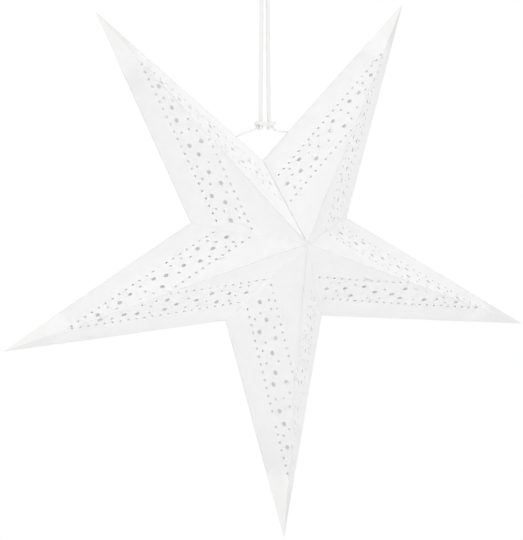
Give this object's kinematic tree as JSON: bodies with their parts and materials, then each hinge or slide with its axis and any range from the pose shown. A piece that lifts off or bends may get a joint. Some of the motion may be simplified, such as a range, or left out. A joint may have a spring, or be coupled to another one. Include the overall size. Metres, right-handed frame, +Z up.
{
  "type": "paper star lantern",
  "caption": "Folding paper star lantern with punched card points, a lamp space inside, and a doubled hanging cord hitched to a tie string.",
  "frame": {"origin": "where the hanging cord's loop bears on its hook", "axes": "+Z up along the hanging cord, +Y to the back of the star, +X to the right for someone who faces its front"},
  "size_m": [0.569, 0.2056, 0.5874],
  "materials": {
    "card": "matt white uncoated card",
    "cord": "braided white cord",
    "tie_string": "twisted white string"
  },
  "bodies": {
    "hanging_cord": {"hanging_cord": "cord"},
    "hitch": {"cord_hitch": "cord"},
    "upper_left_back_right": {"upper_left_point_back_right_panel": "card", "left_tie_string": "tie_string"},
    "upper_left_front_right": {"upper_left_point_front_right_panel": "card"},
    "upper_left_back_left": {"upper_left_point_back_left_panel": "card"},
    "upper_left_front_left": {"upper_left_point_front_left_panel": "card"},
    "left_back_upper": {"left_point_back_upper_panel": "card"},
    "left_front_upper": {"left_point_front_upper_panel": "card"},
    "left_back_lower": {"left_point_back_lower_panel": "card"},
    "left_front_lower": {"left_point_front_lower_panel": "card"},
    "bottom_back_left": {"bottom_point_back_left_panel": "card"},
    "bottom_front_left": {"bottom_point_front_left_panel": "card"},
    "bottom_back_right": {"bottom_point_back_right_panel": "card"},
    "bottom_front_right": {"bottom_point_front_right_panel": "card"},
    "right_back_lower": {"right_point_back_lower_panel": "card"},
    "right_front_lower": {"right_point_front_lower_panel": "card"},
    "right_back_upper": {"right_point_back_upper_panel": "card"},
    "right_front_upper": {"right_point_front_upper_panel": "card"},
    "upper_right_back_right": {"upper_right_point_back_right_panel": "card"},
    "upper_right_front_right": {"upper_right_point_front_right_panel": "card"},
    "upper_right_back_left": {"upper_right_point_back_left_panel": "card", "right_tie_string": "tie_string"},
    "upper_right_front_left": {"upper_right_point_front_left_panel": "card"}
  },
  "joints": [
    {"name": "cord_turn", "type": "hinge", "parent": "hanging_cord", "child": "hitch", "pos_m": [0, 0, -0.15], "axis": [0, 0, 1], "range_deg": [-180, 180]},
    {"name": "star_nod", "type": "hinge", "parent": "hitch", "child": "upper_left_back_right", "pos_m": [0, 0, -0.16], "axis": [1, 0, 0], "range_deg": [-25, 25]},
    {"name": "star_fold", "type": "hinge", "parent": "upper_left_back_right", "child": "upper_left_front_right", "pos_m": [-0.09119, 0, -0.12246], "axis": [-0.7773, 0, 0.6291], "range_deg": [0, 61.1]},
    {"name": "upper_left_ridge_crease", "type": "hinge", "parent": "upper_left_front_right", "child": "upper_left_front_left", "pos_m": [-0.08659, -0.05084, -0.16742], "axis": [0.5914, -0.3247, -0.7381], "range_deg": [0, 64.56]},
    {"name": "upper_left_left_outline_crease", "type": "hinge", "parent": "upper_left_front_left", "child": "upper_left_back_left", "pos_m": [-0.13013, 0, -0.15537], "axis": [-0.432, 0, 0.9019], "range_deg": [0, 64.29]},
    {"name": "upper_left_to_left_valley_crease", "type": "hinge", "parent": "upper_left_front_left", "child": "left_front_upper", "pos_m": [-0.03634, -0.0515, -0.27243], "axis": [-0.6347, 0.753, 0.1736], "range_deg": [0, 110.79]},
    {"name": "left_upper_outline_crease", "type": "hinge", "parent": "left_front_upper", "child": "left_back_upper", "pos_m": [-0.17666, 0, -0.32545], "axis": [0.8309, 0, 0.5564], "range_deg": [0, 64.29]},
    {"name": "left_ridge_crease", "type": "hinge", "parent": "left_front_upper", "child": "left_front_lower", "pos_m": [-0.13304, -0.05085, -0.33725], "axis": [0.8848, -0.3247, 0.3343], "range_deg": [0, 66.29]},
    {"name": "left_lower_outline_crease", "type": "hinge", "parent": "left_front_lower", "child": "left_back_lower", "pos_m": [-0.15796, 0, -0.37494], "axis": [-0.9912, 0, -0.1321], "range_deg": [0, 64.29]},
    {"name": "left_to_bottom_valley_crease", "type": "hinge", "parent": "left_front_lower", "child": "bottom_front_left", "pos_m": [-0.01764, -0.0515, -0.32192], "axis": [-0.3612, 0.753, -0.55], "range_deg": [0, 110.79]},
    {"name": "bottom_left_outline_crease", "type": "hinge", "parent": "bottom_front_left", "child": "bottom_back_left", "pos_m": [-0.01058, 0, -0.47175], "axis": [-0.2724, 0, 0.9622], "range_deg": [0, 64.29]},
    {"name": "bottom_ridge_crease", "type": "hinge", "parent": "bottom_front_left", "child": "bottom_front_right", "pos_m": [0.01412, -0.05085, -0.43392], "axis": [-0.0446, -0.3247, 0.9448], "range_deg": [0, 66.29]},
    {"name": "bottom_right_outline_crease", "type": "hinge", "parent": "bottom_front_right", "child": "bottom_back_right", "pos_m": [0.04227, 0, -0.46926], "axis": [-0.1807, 0, -0.9835], "range_deg": [0, 64.29]},
    {"name": "bottom_to_right_valley_crease", "type": "hinge", "parent": "bottom_front_right", "child": "right_front_lower", "pos_m": [0.0352, -0.0515, -0.31942], "axis": [0.4114, 0.753, -0.5135], "range_deg": [0, 110.79]},
    {"name": "right_lower_outline_crease", "type": "hinge", "parent": "right_front_lower", "child": "right_back_lower", "pos_m": [0.17988, 0, -0.35901], "axis": [-0.9993, 0, 0.0383], "range_deg": [0, 64.29]},
    {"name": "right_ridge_crease", "type": "hinge", "parent": "right_front_lower", "child": "right_front_upper", "pos_m": [0.15153, -0.05085, -0.32383], "axis": [-0.9123, -0.3247, 0.2496], "range_deg": [0, 66.29]},
    {"name": "right_upper_outline_crease", "type": "hinge", "parent": "right_front_upper", "child": "right_back_upper", "pos_m": [0.19384, 0, -0.30798], "axis": [0.8796, 0, -0.4757], "range_deg": [0, 64.29]},
    {"name": "right_to_upper_right_valley_crease", "type": "hinge", "parent": "right_front_upper", "child": "upper_right_front_right", "pos_m": [0.04916, -0.0515, -0.2684], "axis": [0.6155, 0.753, 0.2326], "range_deg": [0, 114.72]},
    {"name": "upper_right_right_outline_crease", "type": "hinge", "parent": "upper_right_front_right", "child": "upper_right_back_right", "pos_m": [0.1237, 0, -0.13823], "axis": [-0.2732, 0, -0.962], "range_deg": [0, 67.53]},
    {"name": "upper_right_ridge_crease", "type": "hinge", "parent": "upper_right_front_right", "child": "upper_right_front_left", "pos_m": [0.08151, -0.05086, -0.15434], "axis": [-0.47, -0.3247, -0.8207], "range_deg": [0, 67.78]},
    {"name": "upper_right_left_outline_crease", "type": "hinge", "parent": "upper_right_front_left", "child": "upper_right_back_left", "pos_m": [0.07714, 0, -0.10936], "axis": [0.6792, 0, 0.734], "range_deg": [0, 63.79]}
  ],
  "couplings": [
    {"joint": "upper_left_ridge_crease", "follows": "star_fold", "ratio": 1.0566},
    {"joint": "upper_left_left_outline_crease", "follows": "star_fold", "ratio": 1.0522},
    {"joint": "upper_left_to_left_valley_crease", "follows": "star_fold", "ratio": 1.8131},
    {"joint": "left_upper_outline_crease", "follows": "star_fold", "ratio": 1.0522},
    {"joint": "left_ridge_crease", "follows": "star_fold", "ratio": 1.0849},
    {"joint": "left_lower_outline_crease", "follows": "star_fold", "ratio": 1.0522},
    {"joint": "left_to_bottom_valley_crease", "follows": "star_fold", "ratio": 1.8131},
    {"joint": "bottom_left_outline_crease", "follows": "star_fold", "ratio": 1.0522},
    {"joint": "bottom_ridge_crease", "follows": "star_fold", "ratio": 1.0849},
    {"joint": "bottom_right_outline_crease", "follows": "star_fold", "ratio": 1.0522},
    {"joint": "bottom_to_right_valley_crease", "follows": "star_fold", "ratio": 1.8131},
    {"joint": "right_lower_outline_crease", "follows": "star_fold", "ratio": 1.0522},
    {"joint": "right_ridge_crease", "follows": "star_fold", "ratio": 1.0849},
    {"joint": "right_upper_outline_crease", "follows": "star_fold", "ratio": 1.0522},
    {"joint": "right_to_upper_right_valley_crease", "follows": "star_fold", "ratio": 1.8775},
    {"joint": "upper_right_right_outline_crease", "follows": "star_fold", "ratio": 1.1052},
    {"joint": "upper_right_ridge_crease", "follows": "star_fold", "ratio": 1.1092},
    {"joint": "upper_right_left_outline_crease", "follows": "star_fold", "ratio": 1.044}
  ]
}
